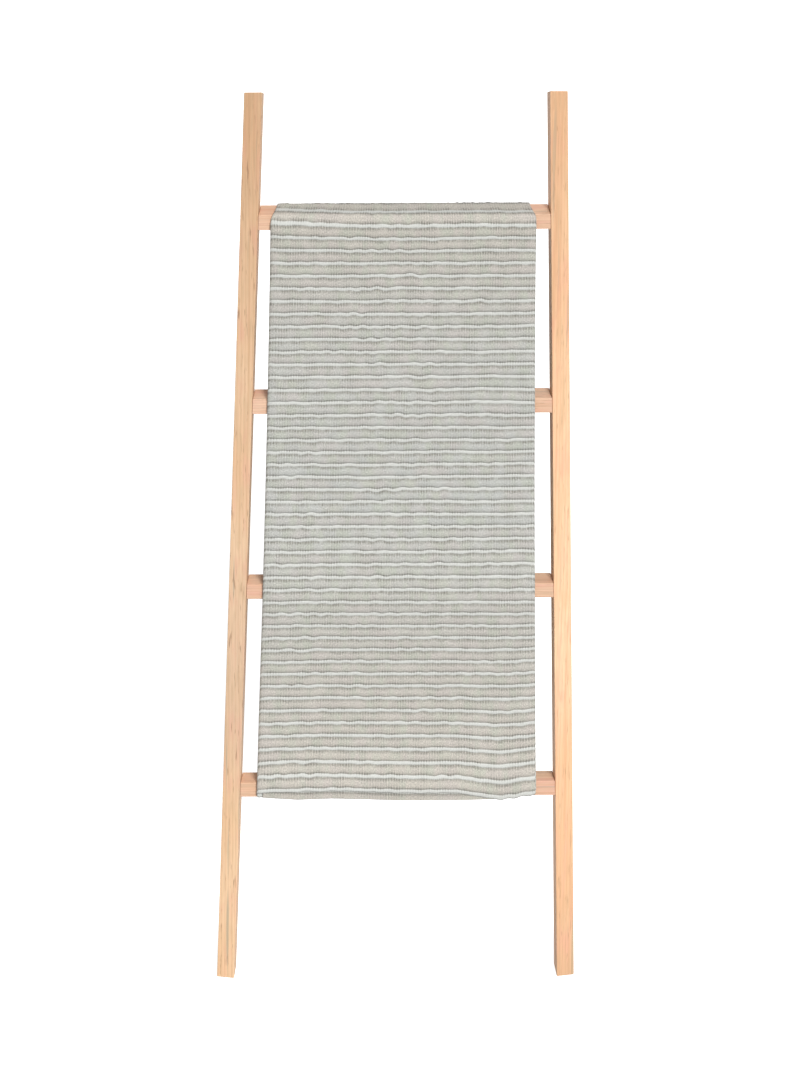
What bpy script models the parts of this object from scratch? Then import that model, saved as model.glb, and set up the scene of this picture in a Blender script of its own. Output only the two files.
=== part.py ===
"""Quilt on a rack: a leaning wooden blanket ladder with a folded quilt draped over its top rung.

Metres, +Z up, the wall behind the rack towards +Y. The origin is the bottom centre of the
bounding box, on the floor. The ladder is drawn upright in its own frame, where x runs along
the rungs, y is the depth behind the front face and z the height along the ladder, and an
empty leans that frame back against the wall. The quilt is drawn straight in world axes.
"""

import math

import bmesh
import bpy
from mathutils import Vector

# Overall sizes of the ladder
RAIL_LENGTH = 1.537         # along the lean, foot to top
FOOT_WIDTH = 0.504          # over the outer front edges, at the floor
TOP_WIDTH = 0.4365          # over the outer front edges, at the top
LEAN = math.radians(8.0)    # back from upright

# Timber sections
RAIL_FACE = 0.0245          # rail width seen from the front
RAIL_DEPTH = 0.025
RAIL_TOE_OUT = math.radians(8.0)   # each rail is turned so that its inner face shows a little
RAIL_TOP_BEVEL = math.radians(38.0)    # the rails' ends fall away backwards from a square cut
RUNG_HEIGHT = 0.025
RUNG_DEPTH = 0.0245
RUNG_SETBACK = 0.0004       # rung front behind the rails' inner front edges
EDGE_EASING = 0.0009        # sanded corner on every length of timber
BOTTOM_RUNG_TOP = 0.351     # top face of the lowest rung, along the lean from the foot
TOP_RUNG_DROP = 0.206       # top face of the highest rung below the rails' ends
BAY_SHARES = (0.356, 0.326, 0.318)   # how the rungs between them share that height, lowest first

# Joint hardware: at each rung end one plugged countersunk screw, and one dowel against twisting
SCREW_LENGTH = 0.050
SCREW_HEAD_RADIUS = 0.0043
SCREW_HEAD_HEIGHT = 0.0030
SCREW_SHANK_RADIUS = 0.0022
SCREW_CORE_RADIUS = 0.0016
SCREW_THREAD_LENGTH = 0.028
SCREW_THREAD_TURNS = 8
SCREW_DRIVE = 0.0024        # side of the square drive recess
SCREW_DRIVE_DEPTH = 0.0016
SCREW_RISE = 0.0040         # screw axis above the rung's centre line
PLUG_RADIUS = 0.0050
PLUG_DEPTH = 0.0060         # head of the screw below the rail's outer face
DOWEL_RADIUS = 0.0030
DOWEL_LENGTH = 0.030
DOWEL_IN_RAIL = 0.012
DOWEL_DROP = 0.0045         # dowel axis below the rung's centre line
DOWEL_CHAMFER = 0.0008

# The folded quilt
QUILT_THICKNESS = 0.0060    # four layers, folded in four lengthwise
QUILT_SIDE_ROOM = 0.0157    # between the quilt's folds and the rails at the top rung's front
QUILT_HEM_SPREAD = 0.020    # the front hem is wider than the top by this
QUILT_BACK_NARROWING = 0.016    # and the back drop is narrower by this
QUILT_FRONT_DROP = 1.008    # top rung's front edge to the front hem
QUILT_BACK_DROP = 0.960     # top rung's back edge to the back hem
QUILT_STATION = 0.040       # spacing of sections along the straight drops

GAP = 0.0003                # clearance between pieces that touch
ROUND_SEGMENTS = 16
BEND_STEPS = 6

SIDES = {"left": -1.0, "right": 1.0}
TAPER_PER_METRE = (FOOT_WIDTH - TOP_WIDTH) / 2 / RAIL_LENGTH
LADDER_DEPTH = RAIL_FACE * math.sin(RAIL_TOE_OUT) + RAIL_DEPTH * math.cos(RAIL_TOE_OUT)
WALL_EDGE_HEIGHT = RAIL_LENGTH - LADDER_DEPTH * math.tan(RAIL_TOP_BEVEL)
BOX_DEPTH = WALL_EDGE_HEIGHT * math.sin(LEAN) + LADDER_DEPTH * math.cos(LEAN)
RUNG_MID_DEPTH = RUNG_SETBACK + RUNG_DEPTH / 2
TOP_RUNG_TOP = RAIL_LENGTH - TOP_RUNG_DROP


def clear_scene():
    for item in list(bpy.data.objects):
        bpy.data.objects.remove(item, do_unlink=True)


def material(name, colour, roughness, metallic=0.0):
    made = bpy.data.materials.new(name)
    made.use_nodes = True
    shader = made.node_tree.nodes["Principled BSDF"]
    shader.inputs["Base Color"].default_value = (*colour, 1.0)
    shader.inputs["Roughness"].default_value = roughness
    shader.inputs["Metallic"].default_value = metallic
    return made


def add_object(name, mesh_builder, finish, parent=None):
    """Turns a bmesh into a named object with outward faces."""
    bmesh.ops.recalc_face_normals(mesh_builder, faces=mesh_builder.faces)
    mesh = bpy.data.meshes.new(name)
    mesh_builder.to_mesh(mesh)
    mesh_builder.free()
    mesh.materials.append(finish)
    item = bpy.data.objects.new(name, mesh)
    bpy.context.scene.collection.objects.link(item)
    item.parent = parent
    return item


def smooth_round_faces(item):
    item.data.shade_smooth()
    item.data.set_sharp_from_angle(angle=math.radians(35.0))


def solid_from_rings(rings):
    """Joins equal rings of points into one closed solid with flat ends."""
    builder = bmesh.new()
    loops = [[builder.verts.new(point) for point in ring] for ring in rings]
    count = len(loops[0])
    for lower, upper in zip(loops, loops[1:]):
        for i in range(count):
            j = (i + 1) % count
            builder.faces.new((lower[i], lower[j], upper[j], upper[i]))
    builder.faces.new(loops[0])
    builder.faces.new(loops[-1])
    return builder


def ease_edges(item, width=EDGE_EASING):
    easing = item.modifiers.new("easing", "BEVEL")
    easing.width = width
    easing.segments = 2
    easing.limit_method = "ANGLE"
    easing.angle_limit = math.radians(30.0)


def cut(item, cutter):
    bore = item.modifiers.new("cut_" + cutter.name, "BOOLEAN")
    bore.operation = "DIFFERENCE"
    bore.solver = "EXACT"
    bore.object = cutter


def as_cutter(item):
    item.hide_render = True
    item.display_type = "WIRE"
    return item


# ---------------------------------------------------------------- faces of the rails

def inner_front_x(height):
    """Half distance between the rails' inner front edges at a height along the ladder."""
    outer = FOOT_WIDTH / 2 - TAPER_PER_METRE * height
    return outer - RAIL_FACE * math.cos(RAIL_TOE_OUT)


def rung_tops():
    """Heights of the rungs' top faces, lowest first."""
    heights = [BOTTOM_RUNG_TOP]
    for share in BAY_SHARES:
        heights.append(heights[-1] + share * (TOP_RUNG_TOP - BOTTOM_RUNG_TOP))
    return heights


def inner_face_x(depth, height):
    return inner_front_x(height) - depth * math.tan(RAIL_TOE_OUT)


def outer_face_x(depth, height):
    return inner_face_x(depth, height) + RAIL_FACE / math.cos(RAIL_TOE_OUT)


def rail_section(side, height_at):
    """The rail's four corners, front inner first; height_at gives the height for a depth."""
    toe_sin = math.sin(RAIL_TOE_OUT)
    toe_cos = math.cos(RAIL_TOE_OUT)
    corners = (
        (0.0, 0.0),
        (RAIL_FACE * toe_cos, RAIL_FACE * toe_sin),
        (RAIL_FACE * toe_cos - RAIL_DEPTH * toe_sin, RAIL_FACE * toe_sin + RAIL_DEPTH * toe_cos),
        (-RAIL_DEPTH * toe_sin, RAIL_DEPTH * toe_cos),
    )
    points = []
    for across, depth in corners:
        height = height_at(depth)
        points.append((side * (inner_front_x(height) + across), depth, height))
    return points


def make_rail(name, side, frame, finish):
    """A straight length of timber, its foot sawn level with the floor and its top bevelled."""
    foot = rail_section(side, lambda depth: depth * math.tan(LEAN))
    top = rail_section(side, lambda depth: RAIL_LENGTH - depth * math.tan(RAIL_TOP_BEVEL))
    rail = add_object(name, solid_from_rings([foot, top]), finish, frame)
    ease_edges(rail)
    return rail


def make_rung(name, centre_height, frame, finish):
    """A rung whose ends are sawn to the slope of the rails' inner faces."""
    corners = []
    for depth in (RUNG_SETBACK, RUNG_SETBACK + RUNG_DEPTH):
        for rise in (-RUNG_HEIGHT / 2, RUNG_HEIGHT / 2):
            corners.append((depth, centre_height + rise))
    corners[2], corners[3] = corners[3], corners[2]
    rings = []
    for side in SIDES.values():
        rings.append([(side * (inner_face_x(d, h) - GAP), d, h) for d, h in corners])
    rung = add_object(name, solid_from_rings(rings), finish, frame)
    ease_edges(rung)
    return rung


# ---------------------------------------------------------------- turned pieces along x

def turned(name, side, start, depth, height, profile, finish, frame, end_plane=None):
    """A solid turned about a line along x. The profile's points are (distance inwards from
    start, radius). end_plane gives the x of a slanted first end for a depth and a height."""
    rings = []
    for step, (inward, radius) in enumerate(profile):
        ring = []
        for i in range(ROUND_SEGMENTS):
            angle = 2 * math.pi * i / ROUND_SEGMENTS
            y = radius * math.cos(angle)
            z = radius * math.sin(angle)
            x = start - inward
            if end_plane and step == 0:
                x = end_plane(depth + y, height + z)
            ring.append((side * x, y, z))
        rings.append(ring)
    item = add_object(name, solid_from_rings(rings), finish, frame)
    item.location = (0.0, depth, height)
    smooth_round_faces(item)
    return item


def screw_profile():
    head_base = PLUG_DEPTH + SCREW_HEAD_HEIGHT
    tip = PLUG_DEPTH + SCREW_LENGTH
    thread_start = tip - SCREW_THREAD_LENGTH
    pitch = (SCREW_THREAD_LENGTH - 2 * SCREW_SHANK_RADIUS) / SCREW_THREAD_TURNS
    points = [(PLUG_DEPTH, SCREW_HEAD_RADIUS), (head_base, SCREW_SHANK_RADIUS)]
    for turn in range(SCREW_THREAD_TURNS):
        root = thread_start + turn * pitch
        points.append((root, SCREW_CORE_RADIUS))
        points.append((root + pitch / 2, SCREW_SHANK_RADIUS))
    points.append((tip - 2 * SCREW_SHANK_RADIUS, SCREW_CORE_RADIUS))
    points.append((tip, SCREW_CORE_RADIUS / 4))
    return points


def bore_profile():
    """The plug's counterbore, the screw head's countersink and the screw's hole."""
    past_tip = PLUG_DEPTH + SCREW_LENGTH + 4 * GAP
    proud = 2 * PLUG_RADIUS
    return [
        (-proud, PLUG_RADIUS + GAP),
        (PLUG_DEPTH - GAP, PLUG_RADIUS + GAP),
        (PLUG_DEPTH - GAP / 2, SCREW_HEAD_RADIUS + 2 * GAP),
        (PLUG_DEPTH + SCREW_HEAD_HEIGHT + GAP, SCREW_SHANK_RADIUS + GAP),
        (past_tip, SCREW_SHANK_RADIUS + GAP),
    ]


def make_joint(label, side_name, centre, rail, rung, frame, finishes):
    """The screw, plug and dowel at one end of a rung, with their holes in rail and rung."""
    side = SIDES[side_name]

    screw_height = centre + SCREW_RISE
    outer = outer_face_x(RUNG_MID_DEPTH, screw_height)
    place = (side, outer, RUNG_MID_DEPTH, screw_height)
    screw = turned("screw_" + label, *place, screw_profile(), finishes["steel"], frame)
    drive = turned("drive_cutter_" + label, side, outer, RUNG_MID_DEPTH, screw_height,
                   [(PLUG_DEPTH - SCREW_DRIVE_DEPTH, SCREW_DRIVE / 2),
                    (PLUG_DEPTH + SCREW_DRIVE_DEPTH, SCREW_DRIVE / 2)],
                   finishes["steel"], frame)
    cut(screw, as_cutter(drive))
    turned("plug_" + label, *place,
           [(0.0, PLUG_RADIUS), (PLUG_DEPTH - 2 * GAP, PLUG_RADIUS)],
           finishes["plug"], frame, end_plane=outer_face_x)
    bore = turned("bore_cutter_" + label, *place, bore_profile(), finishes["steel"], frame)
    cut(rail, as_cutter(bore))
    cut(rung, bore)

    dowel_height = centre - DOWEL_DROP
    inner = inner_face_x(RUNG_MID_DEPTH, dowel_height)
    seat = (side, inner + DOWEL_IN_RAIL, RUNG_MID_DEPTH, dowel_height)
    turned("dowel_" + label, *seat,
           [(0.0, DOWEL_RADIUS - DOWEL_CHAMFER), (DOWEL_CHAMFER, DOWEL_RADIUS),
            (DOWEL_LENGTH - DOWEL_CHAMFER, DOWEL_RADIUS),
            (DOWEL_LENGTH, DOWEL_RADIUS - DOWEL_CHAMFER)],
           finishes["dowel"], frame)
    socket = turned("socket_cutter_" + label, *seat,
                    [(-GAP, DOWEL_RADIUS + GAP), (DOWEL_LENGTH + GAP, DOWEL_RADIUS + GAP)],
                    finishes["dowel"], frame)
    cut(rail, as_cutter(socket))
    cut(rung, socket)


# ---------------------------------------------------------------- the quilt

def ladder_to_world(depth, height):
    """World y and z of a point given by its depth and its height along the ladder."""
    y = height * math.sin(LEAN) + depth * math.cos(LEAN) - BOX_DEPTH / 2
    z = height * math.cos(LEAN) - depth * math.sin(LEAN)
    return Vector((y, z))


def drape_path():
    """Stations along the middle of the folded quilt, front hem to back hem: each is the
    point (y, z), the outward normal and the width of the quilt there."""
    offset = GAP + QUILT_THICKNESS / 2
    front = Vector((-math.cos(LEAN), math.sin(LEAN)))
    up = Vector((math.sin(LEAN), math.cos(LEAN)))
    back = Vector((1.0, 0.0))
    rung_front = ladder_to_world(RUNG_SETBACK, TOP_RUNG_TOP)
    rung_back = ladder_to_world(RUNG_SETBACK + RUNG_DEPTH, TOP_RUNG_TOP)
    width_top = 2 * (inner_front_x(TOP_RUNG_TOP) - QUILT_SIDE_ROOM)

    stations = []
    runs = math.ceil(QUILT_FRONT_DROP / QUILT_STATION)
    for i in range(runs):
        below = QUILT_FRONT_DROP * (1 - i / runs)
        width = width_top + QUILT_HEM_SPREAD * below / QUILT_FRONT_DROP
        stations.append((rung_front - up * below + front * offset, front, width))
    for corner, start, end in ((rung_front, front, up), (rung_back, up, back)):
        for i in range(BEND_STEPS + 1):
            normal = start.slerp(end, i / BEND_STEPS).normalized()
            stations.append((corner + normal * offset, normal, width_top))
    runs = math.ceil(QUILT_BACK_DROP / QUILT_STATION)
    for i in range(1, runs + 1):
        below = QUILT_BACK_DROP * i / runs
        width = width_top - QUILT_BACK_NARROWING * min(1.0, below / QUILT_STATION)
        stations.append((rung_back + back * offset - Vector((0.0, below)), back, width))
    return stations


def make_quilt(finish):
    """One padded strip with rounded side folds, bent over the top rung."""
    half = QUILT_THICKNESS / 2
    rings = []
    for centre, normal, width in drape_path():
        edge = width / 2
        ring = []
        for side in (1.0, -1.0):
            for angle in (90.0, 45.0, 0.0, -45.0, -90.0):
                out = half * math.sin(math.radians(angle)) * side
                across = side * (edge - half + half * math.cos(math.radians(angle)))
                point = centre + normal * out
                ring.append((across, point.x, point.y))
        rings.append(ring)
    quilt = add_object("quilt", solid_from_rings(rings), finish)
    smooth_round_faces(quilt)
    return quilt


def build():
    clear_scene()
    finishes = {
        "pine": material("pale_pine", (0.80, 0.56, 0.36), 0.62),
        "plug": material("pine_plug", (0.74, 0.50, 0.31), 0.62),
        "dowel": material("beech_dowel", (0.72, 0.52, 0.36), 0.60),
        "steel": material("zinc_plated_steel", (0.62, 0.60, 0.54), 0.35, 1.0),
        "quilt": material("quilted_cotton", (0.62, 0.60, 0.55), 0.90),
    }
    frame = bpy.data.objects.new("ladder_frame", None)
    bpy.context.scene.collection.objects.link(frame)
    frame.location = (0.0, -BOX_DEPTH / 2, 0.0)
    frame.rotation_euler = (-LEAN, 0.0, 0.0)

    rails = {}
    for side_name, side in SIDES.items():
        rails[side_name] = make_rail("rail_" + side_name, side, frame, finishes["pine"])
    for number, top in enumerate(rung_tops(), start=1):
        centre = top - RUNG_HEIGHT / 2
        rung = make_rung(f"rung_{number}", centre, frame, finishes["pine"])
        for side_name, rail in rails.items():
            make_joint(f"{number}_{side_name}", side_name, centre, rail, rung, frame, finishes)
    make_quilt(finishes["quilt"])
    bpy.context.view_layer.update()


build()
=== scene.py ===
"""Looks for the quilt on a rack: pine timber, a channel-stitched quilt, soft studio light.

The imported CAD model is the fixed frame. Its timber, plugs, dowels and screws keep their shape
and get finished materials. The quilt's plain solid is replaced by one sheet of quilted cloth,
folded in four lengthwise and draped over the top rung by a cloth simulation.
"""

import math
from collections import namedtuple

import bmesh
import bpy
import numpy as np
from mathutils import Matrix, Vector


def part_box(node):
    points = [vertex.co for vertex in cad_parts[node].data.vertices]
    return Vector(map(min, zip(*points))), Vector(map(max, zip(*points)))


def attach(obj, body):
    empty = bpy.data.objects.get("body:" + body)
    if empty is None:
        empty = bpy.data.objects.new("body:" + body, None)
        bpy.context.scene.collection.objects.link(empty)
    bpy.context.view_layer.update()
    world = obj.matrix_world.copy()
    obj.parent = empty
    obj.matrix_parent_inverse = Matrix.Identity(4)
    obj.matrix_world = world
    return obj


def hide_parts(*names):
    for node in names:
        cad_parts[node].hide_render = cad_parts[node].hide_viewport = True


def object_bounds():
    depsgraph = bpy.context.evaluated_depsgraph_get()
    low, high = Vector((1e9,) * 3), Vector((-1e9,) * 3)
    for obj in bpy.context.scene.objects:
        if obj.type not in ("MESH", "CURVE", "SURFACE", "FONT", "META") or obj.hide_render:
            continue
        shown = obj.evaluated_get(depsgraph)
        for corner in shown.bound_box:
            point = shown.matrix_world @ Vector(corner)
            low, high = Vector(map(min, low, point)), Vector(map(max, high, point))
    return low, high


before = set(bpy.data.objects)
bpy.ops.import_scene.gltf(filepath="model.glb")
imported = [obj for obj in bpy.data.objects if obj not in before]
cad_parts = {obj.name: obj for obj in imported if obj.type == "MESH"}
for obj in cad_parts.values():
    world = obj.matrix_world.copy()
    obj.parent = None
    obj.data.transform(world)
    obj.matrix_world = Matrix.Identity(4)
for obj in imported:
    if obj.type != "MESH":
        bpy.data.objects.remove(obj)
CAD_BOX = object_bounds()

# ---------------------------------------------------------------- sizes, in metres

LAYER_SPACING = 0.0014          # between the middles of folded layers, without their relief
CLOTH_THICKNESS = 0.0009

CHANNEL = 0.02142               # distance from one white cord to the next
LOOSER_AT_HEM = 0.020           # channels near the front hem are wider, by this in all
LOOSE_CHANNELS = 12.0           # and this many of them share most of it
CORD_SHARE = 0.31               # of a channel, which the white cord takes up
BAND_PUFF = 0.0023              # how far the padded bands stand out
CORD_PUFF = 0.0012
PUCKER = 0.20                   # share by which the relief varies along a channel
WANDER = 0.0009                 # how far whole rows drift off straight
GATHER = 0.00050                # and how far a few neighbouring rows are pulled together
CRINKLE = 0.00060               # how far each line of stitches wobbles by itself

HEM_SPREAD = 0.020              # the CAD solid's front hem is wider than its top by this
TOP_WIDTH_LOSS = 0.0042         # the drape is narrower than the CAD solid's top by this
HEM_WIDTH_GAIN = 0.0062         # and wider than its front hem by this
SPREAD_POWER = 1.45             # the front drop widens mostly in its lower half
BACK_NARROWING = 0.016          # the back drop is narrower by this
BACK_NARROWS_OVER = 0.04        # distance below the top rung where it has become so
CORNER_TUCK = 0.0080            # each side is pulled in where it bends over the top rung
HANGS_LEFT = (-0.0009, -0.0006)     # off centre at the top and at the hem
OUTER_HEM_RISE = 0.0145         # the outer layer ends this far above the layers inside it
OUTER_RISE_LOST = 0.9           # share of that which is gone at the hem's right end
LOST_OVER = 0.11                # distance up from the hem over which it fades back in
HEM_CORNER_RISE = 0.0150        # the inner layers' hem lifts by this at the right corner
OUTER_CORNER_SHARE = 0.45       # share of that lift in the outer layer
INNER_CORNER_RISE = 0.010       # the innermost layers also lift by this at the left corner
CORNERS_SETTLE_OVER = 0.16      # distance up from the hem over which the lifts fade
INNER_WOBBLE = 0.6              # share of the stitches' wobble in all but the outer layer
STEADY_END = 0.03               # the rows stop wandering over this distance before the back hem
PRESSED_LAYERS = 0.25           # share of the layers' spacing left where they press on the rung
PRESSED_RELIEF = 0.30           # share of the quilting's relief left there
PRESSED_OFFSET = 0.0009         # middle of the folded quilt above the top rung
PRESSED_BEFORE = 0.009          # the pressing fades over this distance in front of the rung
PRESSED_AFTER = 0.030           # and over this one behind it
BEND_SPARE = 0.01               # the bend is longer than the top rung is deep by this
RELAXES_OVER = 0.05             # distance down the back where the quilt is fully thick again

SIM_FRAMES = 36
SIM_STEP = 0.0125               # spacing of the simulated grid
SIM_COLUMNS = 25
BEND_STEPS = 4                  # steps around each edge of the top rung
RIPPLE = 0.0015                 # how far the grid stands out at the start, so that it can fall

# ---------------------------------------------------------------- the rack's own directions


def vertices(node):
    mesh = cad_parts[node].data
    points = np.empty(len(mesh.vertices) * 3)
    mesh.vertices.foreach_get("co", points)
    return points.reshape(-1, 3)


def middle(node):
    low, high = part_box(node)
    return (Vector(low) + Vector(high)) / 2


def reach(node, direction):
    """How far a node reaches in a direction."""
    return float((vertices(node) @ np.array(direction)).max())


ACROSS = Vector((1.0, 0.0, 0.0))
BACK = Vector((0.0, 1.0, 0.0))
DOWN = Vector((0.0, 0.0, -1.0))
UP_LADDER = (middle("rung_4") - middle("rung_1")).normalized()
FRONT = UP_LADDER.cross(ACROSS).normalized()
if FRONT.y > 0:
    FRONT = -FRONT

RUNG_FRONT = reach("rung_4", FRONT)
RUNG_TOP = reach("rung_4", UP_LADDER)
RUNG_DEPTH = RUNG_FRONT + reach("rung_4", -FRONT)
FRONT_EDGE = FRONT * RUNG_FRONT + UP_LADDER * RUNG_TOP      # x = 0 on the top rung's edges
BACK_EDGE = FRONT_EDGE - FRONT * RUNG_DEPTH

QUILT_LOW, QUILT_HIGH = (Vector(corner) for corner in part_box("quilt"))
QUILT_HALF_THICKNESS = (reach("quilt", UP_LADDER) - RUNG_TOP) / 2
HEM_WIDTH = QUILT_HIGH.x - QUILT_LOW.x
TOP_WIDTH = HEM_WIDTH - HEM_SPREAD
FRONT_DROP = RUNG_TOP + reach("quilt", -UP_LADDER)
BEHIND_RUNG = vertices("quilt")[:, 1] > BACK_EDGE.y
BACK_DROP = BACK_EDGE.z - float(vertices("quilt")[BEHIND_RUNG, 2].min())

# ---------------------------------------------------------------- nodes for materials


class Nodes:
    """A short way to write a material's node tree."""

    def __init__(self, name):
        self.material = bpy.data.materials.new(name)
        self.material.use_nodes = True
        self.tree = self.material.node_tree
        self.shader = self.tree.nodes["Principled BSDF"]

    def add(self, kind, **settings):
        node = self.tree.nodes.new(kind)
        for key, value in settings.items():
            setattr(node, key, value)
        return node

    def feed(self, socket, value):
        """Sets a socket to a number or colour, or links it to another socket."""
        if isinstance(value, (int, float, tuple)):
            socket.default_value = value
        else:
            self.tree.links.new(value, socket)

    def math(self, operation, *values):
        node = self.add("ShaderNodeMath", operation=operation)
        for socket, value in zip(node.inputs, values):
            self.feed(socket, value)
        return node.outputs[0]

    def times(self, first, second):
        return self.math("MULTIPLY", first, second)

    def noise(self, vector, scale=1.0, detail=2.0, roughness=0.5):
        node = self.add("ShaderNodeTexNoise")
        self.feed(node.inputs["Vector"], vector)
        node.inputs["Scale"].default_value = scale
        node.inputs["Detail"].default_value = detail
        node.inputs["Roughness"].default_value = roughness
        return node.outputs["Fac"]

    def stretch(self, vector, scale, shift=(0.0, 0.0, 0.0)):
        node = self.add("ShaderNodeMapping")
        self.feed(node.inputs["Vector"], vector)
        node.inputs["Scale"].default_value = scale
        node.inputs["Location"].default_value = shift
        return node.outputs["Vector"]

    def turn(self, vector, rotation):
        node = self.add("ShaderNodeMapping")
        self.feed(node.inputs["Vector"], vector)
        node.inputs["Rotation"].default_value = rotation
        return node.outputs["Vector"]

    def ramp(self, factor, stops, interpolation="LINEAR"):
        """Colours or shades of grey along a factor, given as (place, colour)."""
        node = self.add("ShaderNodeValToRGB")
        node.color_ramp.interpolation = interpolation
        while len(node.color_ramp.elements) < len(stops):
            node.color_ramp.elements.new(0.5)
        for element, (place, colour) in zip(node.color_ramp.elements, stops):
            element.position = place
            if isinstance(colour, (int, float)):
                colour = (colour, colour, colour)
            element.color = (*colour, 1.0)
        self.feed(node.inputs["Fac"], factor)
        return node.outputs["Color"]

    def mix(self, factor, first, second, blend="MIX"):
        node = self.add("ShaderNodeMix", data_type="RGBA", blend_type=blend)
        self.feed(node.inputs[0], factor)
        for socket, value in ((node.inputs[6], first), (node.inputs[7], second)):
            if isinstance(value, tuple):
                value = (*value, 1.0)
            self.feed(socket, value)
        return node.outputs[2]

    def shade(self, colour, factor):
        """Multiplies a colour by a shade."""
        return self.mix(1.0, colour, factor, "MULTIPLY")

    def bump(self, height, distance, strength):
        node = self.add("ShaderNodeBump")
        node.inputs["Distance"].default_value = distance
        node.inputs["Strength"].default_value = strength
        self.feed(node.inputs["Height"], height)
        return node.outputs["Normal"]

    def split(self, vector):
        node = self.add("ShaderNodeSeparateXYZ")
        self.feed(node.inputs[0], vector)
        return node.outputs

    def join(self, first, second):
        node = self.add("ShaderNodeCombineXYZ")
        self.feed(node.inputs[0], first)
        self.feed(node.inputs[1], second)
        return node.outputs[0]

    def length(self, vector):
        node = self.add("ShaderNodeVectorMath", operation="LENGTH")
        self.feed(node.inputs[0], vector)
        return node.outputs["Value"]

    def place(self):
        """Places in the world: the CAD nodes keep their origins at the world's."""
        return self.add("ShaderNodeTexCoord").outputs["Object"]

    def attribute(self, name):
        return self.add("ShaderNodeAttribute", attribute_name=name).outputs["Fac"]

    def finish(self, colour, roughness, normal, **numbers):
        """Feeds the shader. numbers are further inputs, with _ for the spaces in their names."""
        self.feed(self.shader.inputs["Base Color"], colour)
        self.feed(self.shader.inputs["Roughness"], roughness)
        if normal is not None:
            self.feed(self.shader.inputs["Normal"], normal)
        for name, value in numbers.items():
            self.shader.inputs[name.replace("_", " ")].default_value = value
        return self.material


def linear(red, green, blue):
    """A display colour from 0 to 255 as the linear values that shaders take."""
    values = []
    for value in (red, green, blue):
        value = value / 255
        values.append(value / 12.92 if value <= 0.04045 else ((value + 0.055) / 1.055) ** 2.4)
    return tuple(values)


# ---------------------------------------------------------------- pine

LEAN = math.atan2(UP_LADDER.y, UP_LADDER.z)
ALONG_RAIL = (LEAN, 0.0, 0.0)       # turns of world places that bring the grain along z
ALONG_RUNG = (0.0, math.pi / 2, 0.0)
RINGS_PER_METRE = 230.0

# Shades along the rails' height, as (share of the height, shade): darker towards their tops, the
# right rail also at its foot, and the left rail greyer about a third of the way up.
LEFT_SHADES = ((0.0, (1.05, 1.04, 1.04)), (0.18, (1.0, 0.99, 0.98)), (0.30, (0.90, 0.92, 1.0)),
               (0.40, (0.91, 0.93, 1.0)), (0.52, (0.99, 1.01, 1.05)), (1.0, (0.79, 0.745, 0.72)))
RIGHT_SHADES = ((0.0, (0.80, 0.78, 0.77)), (0.10, (0.93, 0.93, 0.93)), (0.25, (1.0, 1.0, 1.0)),
                (0.50, (1.0, 1.0, 1.0)), (1.0, (0.79, 0.765, 0.74)))

# Knots, as (distance along the rail, place across, size).
LEFT_KNOTS = ((0.03, -0.238, 0.008), (1.17, -0.214, 0.003))
RIGHT_KNOTS = ((0.62, 0.240, 0.0025),)


def late_wood(n, grain, shift, seed):
    """The dark, dense part of each growth ring, around a pith beside the piece."""
    wander = n.noise(n.stretch(grain, (9, 9, 1.1), shift))
    parts = n.split(n.stretch(grain, (1, 1, 0.05), (0.021 + 0.004 * seed, 0.034, 0)))
    squares = n.math("ADD", n.math("POWER", parts[0], 2.0), n.math("POWER", parts[1], 2.0))
    age = n.math("ADD", n.math("SQRT", squares), n.times(wander, 0.020))
    ring = n.math("FRACT", n.times(age, RINGS_PER_METRE))
    return n.ramp(ring, ((0.0, 0.10), (0.55, 0.25), (0.86, 1.0), (1.0, 0.10)), "EASE")


def wood_colour(n, grain, shift, late):
    """Pale and warm patches, olive and rosy flames, and darker rings and streaks."""
    flame = n.noise(n.stretch(grain, (75, 75, 13), shift), 1.0, 2.5, 0.55)
    streak = n.noise(n.stretch(grain, (150, 150, 2.2), shift), 1.0, 3.0, 0.55)
    patch = n.noise(n.stretch(grain, (14, 14, 3.0), shift))
    pale = linear(250, 214, 174)
    warm = linear(240, 196, 152)
    deep = linear(212, 158, 114)
    olive = linear(232, 197, 155)
    rosy = linear(246, 194, 160)
    base = n.mix(n.ramp(patch, ((0.35, 0.0), (0.68, 1.0))), pale, warm)
    base = n.mix(n.ramp(flame, ((0.52, 0.0), (0.68, 0.70))), base, olive)
    base = n.mix(n.ramp(flame, ((0.32, 0.75), (0.48, 0.0))), base, rosy)
    colour = n.mix(n.times(late, 0.30), base, deep)
    return n.mix(n.ramp(streak, ((0.52, 0.0), (0.74, 0.42))), colour, deep)


def with_stain(n, grain, seed, colour, stain):
    """Grey stained streaks and short dark flecks."""
    grey = linear(184, 172, 146)
    dark = linear(168, 128, 96)
    streaks = n.noise(n.stretch(grain, (120, 120, 4.0), (seed, 3.0 + seed, seed)))
    colour = n.mix(n.ramp(streaks, ((0.62, 0.0), (0.71, stain))), colour, grey)
    flecks = n.noise(n.stretch(grain, (420, 420, 30), (seed, 1.0, 2.0)), 1.0, 2.0, 0.6)
    return n.mix(n.ramp(flecks, ((0.61, 0.0), (0.74, stain))), colour, dark)


def with_knot(n, grain, colour, along, sideways, size):
    """A knot, longer along the grain than across it."""
    lengthening = 0.42
    centre = n.stretch(grain, (1 / size, 1 / size, lengthening / size),
                       (-sideways / size, 0.0, -lengthening * along / size))
    wobble = n.times(n.noise(centre, 1.7), 0.35)
    distance = n.math("ADD", n.length(centre), wobble)
    rings = n.ramp(distance, ((0.30, linear(120, 78, 48)), (0.62, linear(176, 124, 82)),
                              (0.95, linear(226, 176, 132)), (1.25, linear(240, 198, 156))))
    return n.mix(n.ramp(distance, ((0.75, 0.85), (1.45, 0.0)), "EASE"), colour, rings)


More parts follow.
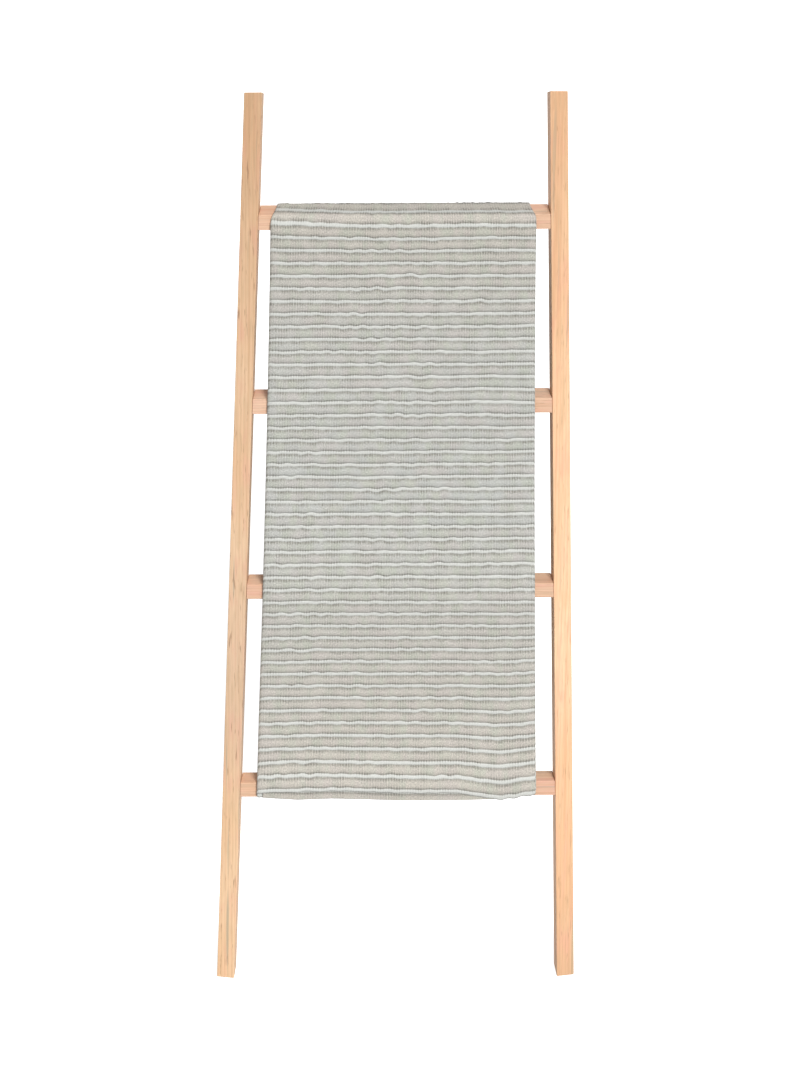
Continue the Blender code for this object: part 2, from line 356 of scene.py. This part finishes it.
def pine(name, rotation, seed, tone=1.0, stain=0.0, knots=(), tint=(1, 1, 1), shades=None):
    """Sanded pine. rotation is a turn of world places after which the grain runs along z."""
    n = Nodes(name)
    grain = n.turn(n.place(), rotation)
    shift = (seed * 0.37, seed * 0.73, seed * 1.9)
    late = late_wood(n, grain, shift, seed)
    fibre = n.noise(n.stretch(grain, (800, 800, 22), shift), 1.0, 4.0, 0.6)

    colour = wood_colour(n, grain, shift, late)
    if stain:
        colour = with_stain(n, grain, seed, colour, stain)
    for knot in knots:
        colour = with_knot(n, grain, colour, *knot)
    colour = n.shade(colour, n.ramp(fibre, ((0.25, 0.86), (0.75, 1.06))))
    colour = n.shade(colour, tuple(tone * share for share in tint))
    if shades:
        height_share = n.math("DIVIDE", n.split(n.place())[2], CAD_BOX[1][2])
        colour = n.shade(colour, n.ramp(height_share, shades))

    roughness = n.ramp(fibre, ((0.2, 0.52), (0.8, 0.70)))
    relief = n.math("ADD", n.times(fibre, 0.7), n.times(late, 0.3))
    return n.finish(colour, roughness, n.bump(relief, 0.00025, 0.7), Specular_IOR_Level=0.35)


def zinc(name):
    """Dull yellowish zinc plating."""
    n = Nodes(name)
    mottle = n.noise(n.place(), 900.0, 3.0)
    colour = n.ramp(mottle, ((0.3, (0.52, 0.50, 0.42)), (0.7, (0.70, 0.68, 0.60))))
    roughness = n.ramp(mottle, ((0.3, 0.30), (0.7, 0.46)))
    return n.finish(colour, roughness, None, Metallic=1.0)


def give(node, material):
    """Puts a material on a CAD node, which keeps its shape."""
    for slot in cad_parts[node].material_slots:
        slot.material = material


def finish_timber():
    give("rail_left", pine("pine_rail_left", ALONG_RAIL, 1.0, tone=0.91, stain=0.75,
                           knots=LEFT_KNOTS, shades=LEFT_SHADES))
    give("rail_right", pine("pine_rail_right", ALONG_RAIL, 2.6, tone=1.07, stain=0.45,
                            knots=RIGHT_KNOTS, tint=(1.0, 0.95, 0.945), shades=RIGHT_SHADES))
    for number in range(1, 5):
        give(f"rung_{number}", pine(f"pine_rung_{number}", ALONG_RUNG, 3.1 + number, tone=0.85,
                                    stain=0.45, tint=(1.0, 0.97, 1.09)))
        for side in ("left", "right"):
            label = f"{number}_{side}"
            give("plug_" + label, pine("pine_plug_" + label, ALONG_RAIL, 6.0 + number, 0.86))
            give("dowel_" + label, pine("beech_dowel_" + label, ALONG_RUNG, 9.0 + number, 0.86))
            give("screw_" + label, zinc("zinc_screw_" + label))


# ---------------------------------------------------------------- the drape, by simulation

Station = namedtuple("Station", "place normal width centre held")


def hanging_width(below):
    """Width of the front drop at a distance below the top rung."""
    top, hem = TOP_WIDTH - TOP_WIDTH_LOSS, HEM_WIDTH + HEM_WIDTH_GAIN
    return top + (hem - top) * (below / FRONT_DROP) ** SPREAD_POWER


def drape_stations():
    """Places along the middle of the folded quilt, from the front hem to the back hem. normal
    points outwards, centre is the place across, and held is 1 where the rung holds it."""
    stations = []
    runs = math.ceil(FRONT_DROP / SIM_STEP)
    for i in range(runs):
        below = FRONT_DROP * (1 - i / runs)
        place = FRONT_EDGE - UP_LADDER * below + FRONT * QUILT_HALF_THICKNESS
        centre = HANGS_LEFT[0] + (HANGS_LEFT[1] - HANGS_LEFT[0]) * below / FRONT_DROP
        stations.append(Station(place, FRONT, hanging_width(below), centre, 0.0))
    top_width = hanging_width(0.0)
    for corner, start, end in ((FRONT_EDGE, FRONT, UP_LADDER), (BACK_EDGE, UP_LADDER, BACK)):
        for i in range(BEND_STEPS + 1):
            normal = start.slerp(end, i / BEND_STEPS).normalized()
            place = corner + normal * PRESSED_OFFSET
            stations.append(Station(place, normal, top_width, HANGS_LEFT[0], 1.0))
    runs = math.ceil(BACK_DROP / SIM_STEP)
    for i in range(1, runs + 1):
        below = BACK_DROP * i / runs
        width = top_width - BACK_NARROWING * min(1.0, below / BACK_NARROWS_OVER)
        relaxed = min(1.0, below / RELAXES_OVER)
        offset = PRESSED_OFFSET + (QUILT_HALF_THICKNESS - PRESSED_OFFSET) * relaxed
        place = BACK_EDGE + BACK * offset + DOWN * below
        stations.append(Station(place, BACK, width, HANGS_LEFT[0], 0.0))
    return stations


def rack_collider():
    """A copy of the rungs and rails for the cloth to rest on."""
    mesh = bmesh.new()
    for node in ("rail_left", "rail_right", "rung_1", "rung_2", "rung_3", "rung_4"):
        mesh.from_mesh(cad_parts[node].data)
    data = bpy.data.meshes.new("collider")
    mesh.to_mesh(data)
    mesh.free()
    collider = bpy.data.objects.new("collider", data)
    bpy.context.scene.collection.objects.link(collider)
    collider.modifiers.new("collision", "COLLISION")
    collider.collision.thickness_outer = 0.001
    collider.collision.cloth_friction = 20.0
    return collider


def grid_faces(rows, columns):
    """Four-sided faces between neighbours in a grid of vertices."""
    index = np.arange(rows * columns).reshape(rows, columns)
    faces = np.stack([index[:-1, :-1], index[:-1, 1:], index[1:, 1:], index[1:, :-1]], -1)
    return faces.reshape(-1, 4).tolist()


def add_mesh(name, points):
    """An object with a grid of points as its mesh."""
    data = bpy.data.meshes.new(name)
    data.from_pydata(points.reshape(-1, 3).tolist(), [], grid_faces(*points.shape[:2]))
    item = bpy.data.objects.new(name, data)
    bpy.context.scene.collection.objects.link(item)
    return item


def hang(cloth_object):
    """Gives the drape its cloth physics, pinned by its vertex group held."""
    cloth = cloth_object.modifiers.new("cloth", "CLOTH")
    settings = cloth.settings
    settings.quality = 8
    settings.mass = 0.4
    settings.tension_stiffness = 60.0
    settings.compression_stiffness = 60.0
    settings.shear_stiffness = 30.0
    settings.bending_stiffness = 6.0
    settings.air_damping = 2.5
    settings.vertex_group_mass = "held"
    cloth.collision_settings.distance_min = QUILT_HALF_THICKNESS - 0.001
    cloth.collision_settings.use_self_collision = False
    cloth.point_cache.frame_start = 1
    cloth.point_cache.frame_end = SIM_FRAMES


def simulate(grid, held):
    """Lets the grid of places hang under gravity. Rows marked in held stay on the top rung."""
    rows, columns, _ = grid.shape
    drape = add_mesh("drape", grid)
    group = drape.vertex_groups.new(name="held")
    for i in range(rows):
        if held[i] > 0:
            group.add(list(range(i * columns, (i + 1) * columns)), held[i], "REPLACE")
    collider = rack_collider()
    hang(drape)
    scene = bpy.context.scene
    scene.frame_start, scene.frame_end = 1, SIM_FRAMES
    for step in range(1, SIM_FRAMES + 1):
        scene.frame_set(step)
    evaluated = drape.evaluated_get(bpy.context.evaluated_depsgraph_get())
    points = np.empty(rows * columns * 3)
    evaluated.data.vertices.foreach_get("co", points)
    scene.frame_set(1)
    for item in (drape, collider):
        bpy.data.objects.remove(item, do_unlink=True)
    return points.reshape(rows, columns, 3)


def smooth_noise(u, v, cells, seed, waves=14):
    """Soft random values of about -1 to 1 over u and v, which each run from 0 to 1."""
    draw = np.random.default_rng(seed)
    total = 0.0
    for _ in range(waves):
        a = draw.uniform(0.2, 1.0) * cells[0]
        b = draw.uniform(-1.0, 1.0) * cells[1]
        total = total + np.cos(2 * np.pi * (a * u + b * v) + draw.uniform(0, 2 * np.pi))
    return total / np.sqrt(2.0 * waves)


def drape_surface():
    """The middle surface of the folded quilt: distances along it, and a grid of places."""
    place, normal, width, centre, held = (np.array(values) for values in zip(*drape_stations()))
    share = np.linspace(-0.5, 0.5, SIM_COLUMNS)
    grid = np.repeat(place[:, None, :], share.size, axis=1)
    grid[:, :, 0] = centre[:, None] + width[:, None] * share
    down_share = np.linspace(0, 1, len(place))[:, None]
    ripple = np.abs(smooth_noise(down_share, share + 0.5, (5, 2), 5)) * RIPPLE
    grid += normal[:, None, :] * (ripple * (1.0 - held[:, None]))[:, :, None]
    steps = np.linalg.norm(np.diff(place, axis=0), axis=1)
    distance = np.concatenate(([0.0], np.cumsum(steps)))
    grid = simulate(grid, held)
    return distance, grid


# ---------------------------------------------------------------- the quilted sheet

RIBS = 51                       # ribs of thread from the middle to each side
THREADS = 190                   # threads of the weave from the middle to each side
THREADS_PER_CHANNEL = 22
CHANNEL_SHARE = 0.115           # a channel's height over half the quilt's width
COLUMNS_SHOWN = 112             # across the layer that faces out
COLUMNS_INNER = 56              # across the layer that faces the rack
COLUMNS_HIDDEN = 8              # across each layer inside the fold
FOLD_STEPS = 7
OUTER, INNER = 1.5, 0.5         # the four layers' offsets from their middle, in layers
SECOND_FOLD = 0.965             # where the fold inside the fold lies, of the half width
LONG_EDGE = 0.995               # and where the sheet's last edge lies
SEAM = CORD_SHARE / 2           # phase of the seam beside a cord, whose middle is phase 0
PHASES_FRONT = (-SEAM, -0.10, -0.05, 0.0, 0.05, 0.10, SEAM,
                0.17, 0.23, 0.34, 0.50, 0.66, 0.77, 0.83)
PHASES_BACK = (-SEAM, -0.08, 0.0, 0.08, SEAM, 0.20, 0.34, 0.50, 0.66, 0.80)

Section = namedtuple("Section", "across bulge layer relief rise")


def folded_section():
    """The folded sheet's cross-section, as columns from one long edge of the sheet to the
    other: place across from -1 to 1, bulge sideways and offset from the middle in layers,
    share of the quilting's relief, and share of the outer hem's rise."""
    columns = []

    def layer(count, start, end, offset, relief, rise):
        for share in np.linspace(0, 1, count, endpoint=False):
            columns.append((start + (end - start) * share, 0.0, offset, relief, rise))

    def fold(side, start, end, relief, rises):
        centre, radius = (start + end) / 2, abs(start - end) / 2
        for i in range(FOLD_STEPS):
            angle = math.pi * i / FOLD_STEPS
            offset = centre + (start - centre) * math.cos(angle)
            rise = rises[0] + (rises[1] - rises[0]) * i / FOLD_STEPS
            columns.append((side, radius * math.sin(angle), offset, relief, rise))

    layer(COLUMNS_INNER, 1.0, -1.0, -OUTER, 0.25, 0.3)
    fold(-1.0, -OUTER, OUTER, 0.4, (0.3, 1.0))
    layer(COLUMNS_SHOWN, -1.0, 1.0, OUTER, 1.0, 1.0)
    fold(1.0, OUTER, INNER, 0.4, (1.0, 0.0))
    layer(COLUMNS_HIDDEN, 1.0, -SECOND_FOLD, INNER, 0.0, 0.0)
    fold(-SECOND_FOLD, INNER, -INNER, 0.0, (0.0, 0.0))
    layer(COLUMNS_HIDDEN, -SECOND_FOLD, LONG_EDGE, -INNER, 0.0, 0.0)
    columns.append((LONG_EDGE, 0.0, -INNER, 0.0, 0.0))
    return Section(*np.array(columns).T)


def rising(value, start, end):
    """0 up to start and 1 from end on, straight between them."""
    return np.clip((value - start) / (end - start), 0, 1)


def hump(value, centre, width):
    """1 at the centre, and fading to 0 on both sides of it."""
    return np.exp(-((value - centre) / width) ** 2)


def unit(vectors):
    """The vectors' directions, each with a length of 1."""
    return vectors / np.linalg.norm(vectors, axis=-1, keepdims=True)


def row_distance(phase):
    """Distance from the front hem of a place on the cloth, given in channels."""
    return CHANNEL * phase + LOOSER_AT_HEM * (1.0 - np.exp(-phase / LOOSE_CHANNELS))


def row_phases(total):
    """Phases of the mesh's rows, closest together beside the seams and where they show."""
    shown_to = FRONT_DROP + 0.04
    last = (total - LOOSER_AT_HEM) / CHANNEL - SEAM
    rows = []
    for cord in range(math.ceil(last)):
        phases = PHASES_FRONT if row_distance(cord) < shown_to else PHASES_BACK
        rows += [cord + phase for phase in phases]
    return np.array([phase for phase in rows if phase < last - 0.05] + [last])


def profile(phase):
    """Height of the quilted cloth across one channel: a round cord and a padded band."""
    around = np.abs(phase - np.floor(phase + 0.5))
    cord = CORD_PUFF * np.sqrt(np.clip(1.0 - (around / SEAM) ** 2, 0.0, 1.0))
    band = BAND_PUFF * (1.0 - rising(around, 0.5, SEAM) ** 2) ** 0.75
    return np.where(around < SEAM, cord, band)


def stitch_wobble(phase, across, seams):
    """Each line of stitches wobbles by itself; the cloth between two lines follows both."""
    draw = np.random.default_rng(4)
    waves, usual_sum = 9, 2.1       # usual_sum is the usual size of that many waves together

    def wobbles(count):
        lines = np.zeros((count, across.size))
        for _ in range(waves):
            cycles = draw.uniform(6, 22, (count, 1))
            start = draw.uniform(0, 2 * np.pi, (count, 1))
            lines += np.cos(np.pi * cycles * across + start)
        return lines

    both_beside_a_cord = np.repeat(wobbles(seams // 2), 2, axis=0)
    lines = 0.60 * both_beside_a_cord + 0.55 * wobbles(seams)
    patchy = smooth_noise(np.linspace(0, 1, seams)[:, None], (across + 1) / 2, (14, 4), 8)
    lines *= CRINKLE / usual_sum * np.clip(0.95 + 0.5 * patchy, 0.4, 1.5)
    cord = np.floor(phase + 0.5)
    local = phase - cord
    step = np.where(np.abs(local) <= SEAM, (local + SEAM) / (2 * SEAM),
                    np.where(local > 0, 1 + (local - SEAM) / (1 - 2 * SEAM),
                             (local + SEAM) / (1 - 2 * SEAM)))
    line = np.clip(2 * cord + step + 2, 0, seams - 1.001)
    first = line.astype(int)
    column = np.broadcast_to(np.arange(across.size), phase.shape)
    return lines[first, column] * (first + 1 - line) + lines[first + 1, column] * (line - first)


def long_waves(s, share, total):
    """Whole rows drift up and down a little, and sag and rise near the hem and the top."""
    drift = WANDER * smooth_noise(s / total, share, (16, 3.2), 21, 22)
    drift = drift + GATHER * smooth_noise(s / total, share, (38, 9), 33, 30)
    near_hem = np.exp(-s / 0.14)
    near_top = np.exp(-np.clip(FRONT_DROP - s, 0, None) / 0.05)
    rise_left = 0.0048 * hump(share, 0.24, 0.17)
    dip_right = -0.0010 * hump(share, 0.85, 0.12)
    rise_right = 0.0038 * rising(share, 0.86, 1.0) ** 1.6
    rise_top_left = 0.0065 * rising(share, 0.30, 0.0) ** 1.3
    return drift + near_hem * (rise_left + dip_right + rise_right) + near_top * rise_top_left


def hem_lift(section, share, base, total):
    """How far the rows are lifted so that each layer ends at its own height at the front hem.
    The outer layer comes down to the others towards the right, and the corners lift."""
    outermost, innermost = section.rise > 0.9, section.rise < 0.1
    corner = HEM_CORNER_RISE * rising(share, 0.80, 1.0) ** 1.4
    corner = corner * np.where(outermost, OUTER_CORNER_SHARE, 1.0)
    left_corner = INNER_CORNER_RISE * rising(share, 0.07, 0.0) ** 2
    corner = corner + np.where(innermost, left_corner, 0.0)
    lowered = OUTER_RISE_LOST * rising(share, 0.72, 0.88) * np.exp(-base / LOST_OVER)
    outer = OUTER_HEM_RISE * section.rise * (1.0 - base / total - lowered)
    return outer + corner * np.exp(-base / CORNERS_SETTLE_OVER)


def cloth_distances(phases, phase, section, share, total):
    """Distance from the front hem of every vertex, along the draped middle surface."""
    base = row_distance(phases - phases[0])
    base = base[:, None] * (total / base[-1])
    s = base + hem_lift(section, share, base, total)
    loose = rising(s, total, total - STEADY_END)
    wobble_share = np.where(section.rise > 0.9, 1.0, INNER_WOBBLE)
    waves = long_waves(s, share, total)
    stitches = stitch_wobble(phase, section.across, 2 * len(phases))
    return np.clip(s + (waves + stitches * wobble_share) * loose, 0.0, total)


def sample_grid(distance, grid, s, c):
    """Places on the drape at distances s along and shares c across, smoothly interpolated."""
    rows, columns, _ = grid.shape
    row = np.clip(np.interp(s, distance, np.arange(rows)), 0, rows - 1.0001)
    column = np.clip(c * (columns - 1), 0, columns - 1.0001)

    def cubic(t):
        return ((-t + 2 * t ** 2 - t ** 3) / 2, (2 - 5 * t ** 2 + 3 * t ** 3) / 2,
                (t + 4 * t ** 2 - 3 * t ** 3) / 2, (-t ** 2 + t ** 3) / 2)

    row_floor, column_floor = row.astype(int), column.astype(int)
    row_weights = cubic(row - row_floor)
    column_weights = cubic(column - column_floor)
    result = np.zeros(s.shape + (3,))
    for a in range(4):
        i = np.clip(row_floor + a - 1, 0, rows - 1)
        for b in range(4):
            j = np.clip(column_floor + b - 1, 0, columns - 1)
            result += (row_weights[a] * column_weights[b])[..., None] * grid[i, j]
    return result


def surface_directions(distance, grid, s, share):
    """The drape's outward and sideways directions at places on it."""
    along_step, across_step = 0.004, 0.02
    along = unit(sample_grid(distance, grid, s + along_step, share)
                 - sample_grid(distance, grid, s - along_step, share))
    sideways = unit(sample_grid(distance, grid, s, share + across_step)
                    - sample_grid(distance, grid, s, share - across_step))
    normal = unit(np.cross(along, sideways))
    on_front = normal[len(normal) // 5, normal.shape[1] // 2]
    if on_front @ np.array(FRONT) < 0:
        normal = -normal
    return normal, sideways


def pressed_on_rung(s):
    """1 where the quilt bends over the top rung, and fading to 0 on both sides of it."""
    bend_end = FRONT_DROP + RUNG_DEPTH + BEND_SPARE
    before = np.clip(FRONT_DROP - s, 0, None)
    after = np.clip(s - bend_end, 0, None)
    return hump(before, 0.0, PRESSED_BEFORE) * hump(after, 0.0, PRESSED_AFTER)


def quilt_points(distance, grid, section, phase, s, share):
    """Places of all the vertices: layer on layer, each with its own relief."""
    tuck_start = FRONT_DROP - 0.004
    tucked = rising(s, tuck_start, tuck_start + RUNG_DEPTH)
    inset = OUTER * LAYER_SPACING + BAND_PUFF / 2 + CORNER_TUCK * tucked
    share = 0.5 + (share - 0.5) * (1.0 - 2 * inset / HEM_WIDTH)
    place = sample_grid(distance, grid, s, share)
    normal, sideways = surface_directions(distance, grid, s, share)

    pressed = pressed_on_rung(s)
    puckers = smooth_noise(np.floor(phase + 0.5) * 0.37, share, (9, 30), 31, 20)
    height = profile(phase) * (1.0 + PUCKER * puckers) * section.relief
    height = height * (1.0 - (1.0 - PRESSED_RELIEF) * pressed)
    height = height * (0.45 + 0.55 * rising(np.abs(section.across), 1.0, 0.95))
    spacing = LAYER_SPACING * (1.0 - (1.0 - PRESSED_LAYERS) * pressed)
    side = np.where(section.across < 0, -1.0, 1.0)
    out = section.layer * spacing + np.sign(section.layer) * height
    fold_relief = np.where(section.bulge > 0, height / 3, 0.0)
    sideways_out = side * (section.bulge * spacing + fold_relief)
    return place + normal * out[..., None] + sideways * sideways_out[..., None]


def build_quilt(distance, grid):
    """The folded, quilted sheet, laid along the draped middle surface."""
    total = distance[-1]
    section = folded_section()
    phases = row_phases(total)
    phase = phases[:, None] + np.zeros(section.across.size)
    share = (section.across + 1) / 2
    s = cloth_distances(phases, phase, section, share, total)
    quilt = add_mesh("quilt_cloth", quilt_points(distance, grid, section, phase, s, share))

    plain = np.where(section.relief == 0.0, 0.5, 0.0)       # no cords inside the fold
    for name, values in (("channel", phase + plain), ("along", s / total),
                         ("across", section.across + np.zeros(phase.shape))):
        attribute = quilt.data.attributes.new(name, "FLOAT", "POINT")
        attribute.data.foreach_set("value", np.asarray(values, dtype=np.float32).ravel())
    quilt.data.shade_smooth()
    thickness = quilt.modifiers.new("thickness", "SOLIDIFY")
    thickness.thickness = CLOTH_THICKNESS
    thickness.offset = 0.0
    quilt.data.materials.append(quilt_material())
    return quilt


def band_colour(n, across, channel, along, from_seam):
    """Greige bands, each with its own soft pinkish and greenish stretches, darkened by painted
    shade towards the seams and lifted by a painted highlight on each band's crown.
    """
    cool = linear(180, 181, 177)
    warm = linear(186, 180, 170)
    pink = linear(186, 178, 173)
    green = linear(176, 180, 166)
    own_place = n.math("ADD", n.times(n.math("FLOOR", channel), 3.71), n.times(channel, 0.3))
    each_band = n.join(across, own_place)
    tint = n.noise(n.stretch(each_band, (4.5, 1, 1)))
    tint_small = n.noise(n.stretch(each_band, (11, 1, 1), (3, 1, 0)))
    ends = n.ramp(along, ((0.0, 1.0), (0.10, 0.75), (0.26, 0.0), (0.40, 0.2), (0.50, 0.9)))
    band = n.mix(ends, cool, warm)
    band = n.mix(n.ramp(tint, ((0.42, 0.0), (0.62, 0.45))), band, pink)
    band = n.mix(n.ramp(tint_small, ((0.47, 0.0), (0.66, 0.55))), band, green)
    # Painted shade towards the seams and a painted highlight on each band's crown.
    return n.shade(band, n.ramp(from_seam, ((0.0, 0.86), (0.10, 0.97), (0.24, 1.10))))


def stitch_shadow(n, channel, from_seam, gather):
    """Dashes of shadow along the stitches, wide below a cord and thin above it."""
    is_below = n.math("GREATER_THAN", n.math("FRACT", channel), 0.5)
    above = n.ramp(from_seam, ((0.0, 0.15), (0.030, 0.05), (0.060, 0.0)))
    below = n.ramp(from_seam, ((0.0, 1.0), (0.065, 1.00), (0.135, 0.0)))
    dashes = n.times(n.mix(is_below, above, below), n.ramp(gather, ((0.40, 1.0), (0.58, 0.20))))
    return n.times(dashes, 0.64)


def quilt_material():
    """Greige padded bands between white cords, gathered along each seam."""
    n = Nodes("quilted_cotton")
    channel = n.attribute("channel")
    across = n.attribute("across")
    along = n.attribute("along")
    around = n.math("PINGPONG", channel, 0.5)
    is_cord = n.ramp(around, ((SEAM - 0.040, 1.0), (SEAM - 0.005, 0.0)))
    from_seam = n.math("ABSOLUTE", n.math("SUBTRACT", around, SEAM))
    flat = n.join(across, n.times(channel, CHANNEL_SHARE))
    gather = n.noise(n.stretch(flat, (150, 9, 1)), 1.0, 1.5)

    patch = n.noise(n.stretch(flat, (9, 6, 1), (7, 2, 0)), 1.0, 1.0)
    rib = n.math("ADD", n.times(across, 2 * math.pi * RIBS), n.times(gather, 4.0))
    rib = n.math("MULTIPLY_ADD", n.math("SINE", rib), 0.5, 0.5)
    ribbing = n.times(n.ramp(patch, ((0.38, 0.10), (0.56, 1.0))),
                      n.ramp(from_seam, ((0.0, 1.0), (0.09, 0.85), (0.20, 0.22))))
    ribbing = n.times(ribbing, n.ramp(around, ((0.07, 0.2), (SEAM, 1.0))))
    rib = n.times(ribbing, rib)

    white = linear(207, 208, 203)
    dark = linear(136, 134, 126)
    colour = n.mix(is_cord, band_colour(n, across, channel, along, from_seam), white)
    colour = n.mix(stitch_shadow(n, channel, from_seam, gather), colour, dark)
    # The gathered ribs are darkened with painted shade in their creases.
    colour = n.mix(rib, colour, dark)
    thread = n.noise(n.stretch(flat, (125, 85, 1)), 1.0, 2.0, 0.7)
    mottled = n.mix(is_cord, n.ramp(thread, ((0.30, 0.72), (0.70, 1.28))),
                    n.ramp(thread, ((0.30, 0.91), (0.70, 1.09))))
    colour = n.shade(colour, mottled)
    # Painted light: the front drop is made a little brighter and the back drop a little darker.
    painted_front_light_back_shade = n.ramp(along, ((0.0, 1.03), (0.28, 1.03), (0.40, 1.00), (0.50, 0.98)))
    colour = n.shade(colour, painted_front_light_back_shade)

    weave = n.times(n.math("SINE", n.times(across, 2 * math.pi * THREADS)),
                    n.math("SINE", n.times(channel, 2 * math.pi * THREADS_PER_CHANNEL)))
    pull = n.times(gather, n.ramp(from_seam, ((0.0, 1.0), (0.22, 0.2))))
    height = n.math("MULTIPLY_ADD", weave, 0.12, n.times(pull, 1.8))
    height = n.math("ADD", height, n.times(rib, -0.6))
    return n.finish(colour, 0.92, n.bump(height, 0.0005, 0.8), Specular_IOR_Level=0.15,
                    Sheen_Weight=0.12, Sheen_Roughness=0.5)


# ---------------------------------------------------------------- stage, light and camera

FLOOR_SIZE = 90.0
FLOOR_GAP = 0.0005                  # below the feet
FLOOR_GLOW = 0.75                   # lifts the floor to the white of the studio's background
FILL = 0.36                         # strength of the light from all round
KEY = (20.0, 43.0, 3.19, 22.0)      # azimuth, elevation, strength, and softness as an angle
BACK_LIGHT = (175.0, 12.0, 0.55, 30.0)
CAMERA_DISTANCE = 20.0
CAMERA_AZIMUTH = math.radians(-1.8)
CAMERA_ELEVATION = math.radians(45.36)
CAMERA_ROLL = math.radians(0.983)
LOOK_AT = Vector((-0.0077, 0.0, 0.7697))
METRES_PER_PICTURE_HEIGHT = 1.4728      # what the picture's height covers at the object
SENSOR = 36.0                           # millimetres


def make_floor():
    bpy.ops.mesh.primitive_plane_add(size=FLOOR_SIZE, location=(0.0, 0.0, -FLOOR_GAP))
    floor = bpy.context.object
    floor.name = "floor"
    n = Nodes("pale_floor")
    haze = n.noise(n.place(), 1.2)
    white = (1.0, 1.0, 1.0, 1.0)
    floor.data.materials.append(n.finish(n.ramp(haze, ((0.3, 0.84), (0.7, 0.86))), 0.9, None,
                                         Emission_Color=white, Emission_Strength=FLOOR_GLOW))
    floor.visible_diffuse = False


def towards(azimuth, elevation):
    """The direction to something at an azimuth, 0 at the front and 90 at the right."""
    level = math.cos(elevation)
    return Vector((math.sin(azimuth) * level, -math.cos(azimuth) * level, math.sin(elevation)))


def add_sun(name, azimuth, elevation, strength, softness):
    data = bpy.data.lights.new(name, "SUN")
    data.energy = strength
    data.angle = math.radians(softness)
    lamp = bpy.data.objects.new(name, data)
    bpy.context.scene.collection.objects.link(lamp)
    source = towards(math.radians(azimuth), math.radians(elevation))
    lamp.rotation_mode = "QUATERNION"
    lamp.rotation_quaternion = source.to_track_quat("Z", "Y")


def make_light():
    """A soft key light from the front right, a weak light from behind, and dim fill all
    round. The camera sees the studio's background as plain white."""
    world = bpy.data.worlds.new("studio")
    bpy.context.scene.world = world
    world.use_nodes = True
    tree = world.node_tree
    background = tree.nodes["Background"]
    background.inputs["Color"].default_value = (1.0, 1.0, 1.0, 1.0)
    seen = tree.nodes.new("ShaderNodeMapRange")
    seen.inputs["To Min"].default_value = FILL
    seen.inputs["To Max"].default_value = 1.0
    tree.links.new(tree.nodes.new("ShaderNodeLightPath").outputs["Is Camera Ray"],
                   seen.inputs["Value"])
    tree.links.new(seen.outputs["Result"], background.inputs["Strength"])
    bpy.context.scene.view_settings.view_transform = "Standard"
    add_sun("key", *KEY)
    add_sun("back", *BACK_LIGHT)


def make_camera():
    """A long lens at the photo's viewing angle, rolled a little as the photo is."""
    data = bpy.data.cameras.new("camera")
    camera = bpy.data.objects.new("camera", data)
    bpy.context.scene.collection.objects.link(camera)
    back = towards(CAMERA_AZIMUTH, CAMERA_ELEVATION)
    camera.location = LOOK_AT + back * CAMERA_DISTANCE
    right = Vector((math.cos(CAMERA_AZIMUTH), math.sin(CAMERA_AZIMUTH), 0.0))
    up = back.cross(right)
    rolled_right = right * math.cos(CAMERA_ROLL) + up * math.sin(CAMERA_ROLL)
    rolled_up = -right * math.sin(CAMERA_ROLL) + up * math.cos(CAMERA_ROLL)
    matrix = camera.matrix_world.to_3x3()
    matrix.col[0], matrix.col[1], matrix.col[2] = rolled_right, rolled_up, back
    camera.rotation_euler = matrix.to_euler()
    data.sensor_width = SENSOR
    data.lens = SENSOR * CAMERA_DISTANCE / METRES_PER_PICTURE_HEIGHT
    data.clip_start, data.clip_end = 1.0, 200.0
    bpy.context.scene.camera = camera


# ---------------------------------------------------------------- putting it together

make_camera()
make_floor()
make_light()
finish_timber()
quilt = build_quilt(*drape_surface())
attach(quilt, "quilt")
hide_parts("quilt")
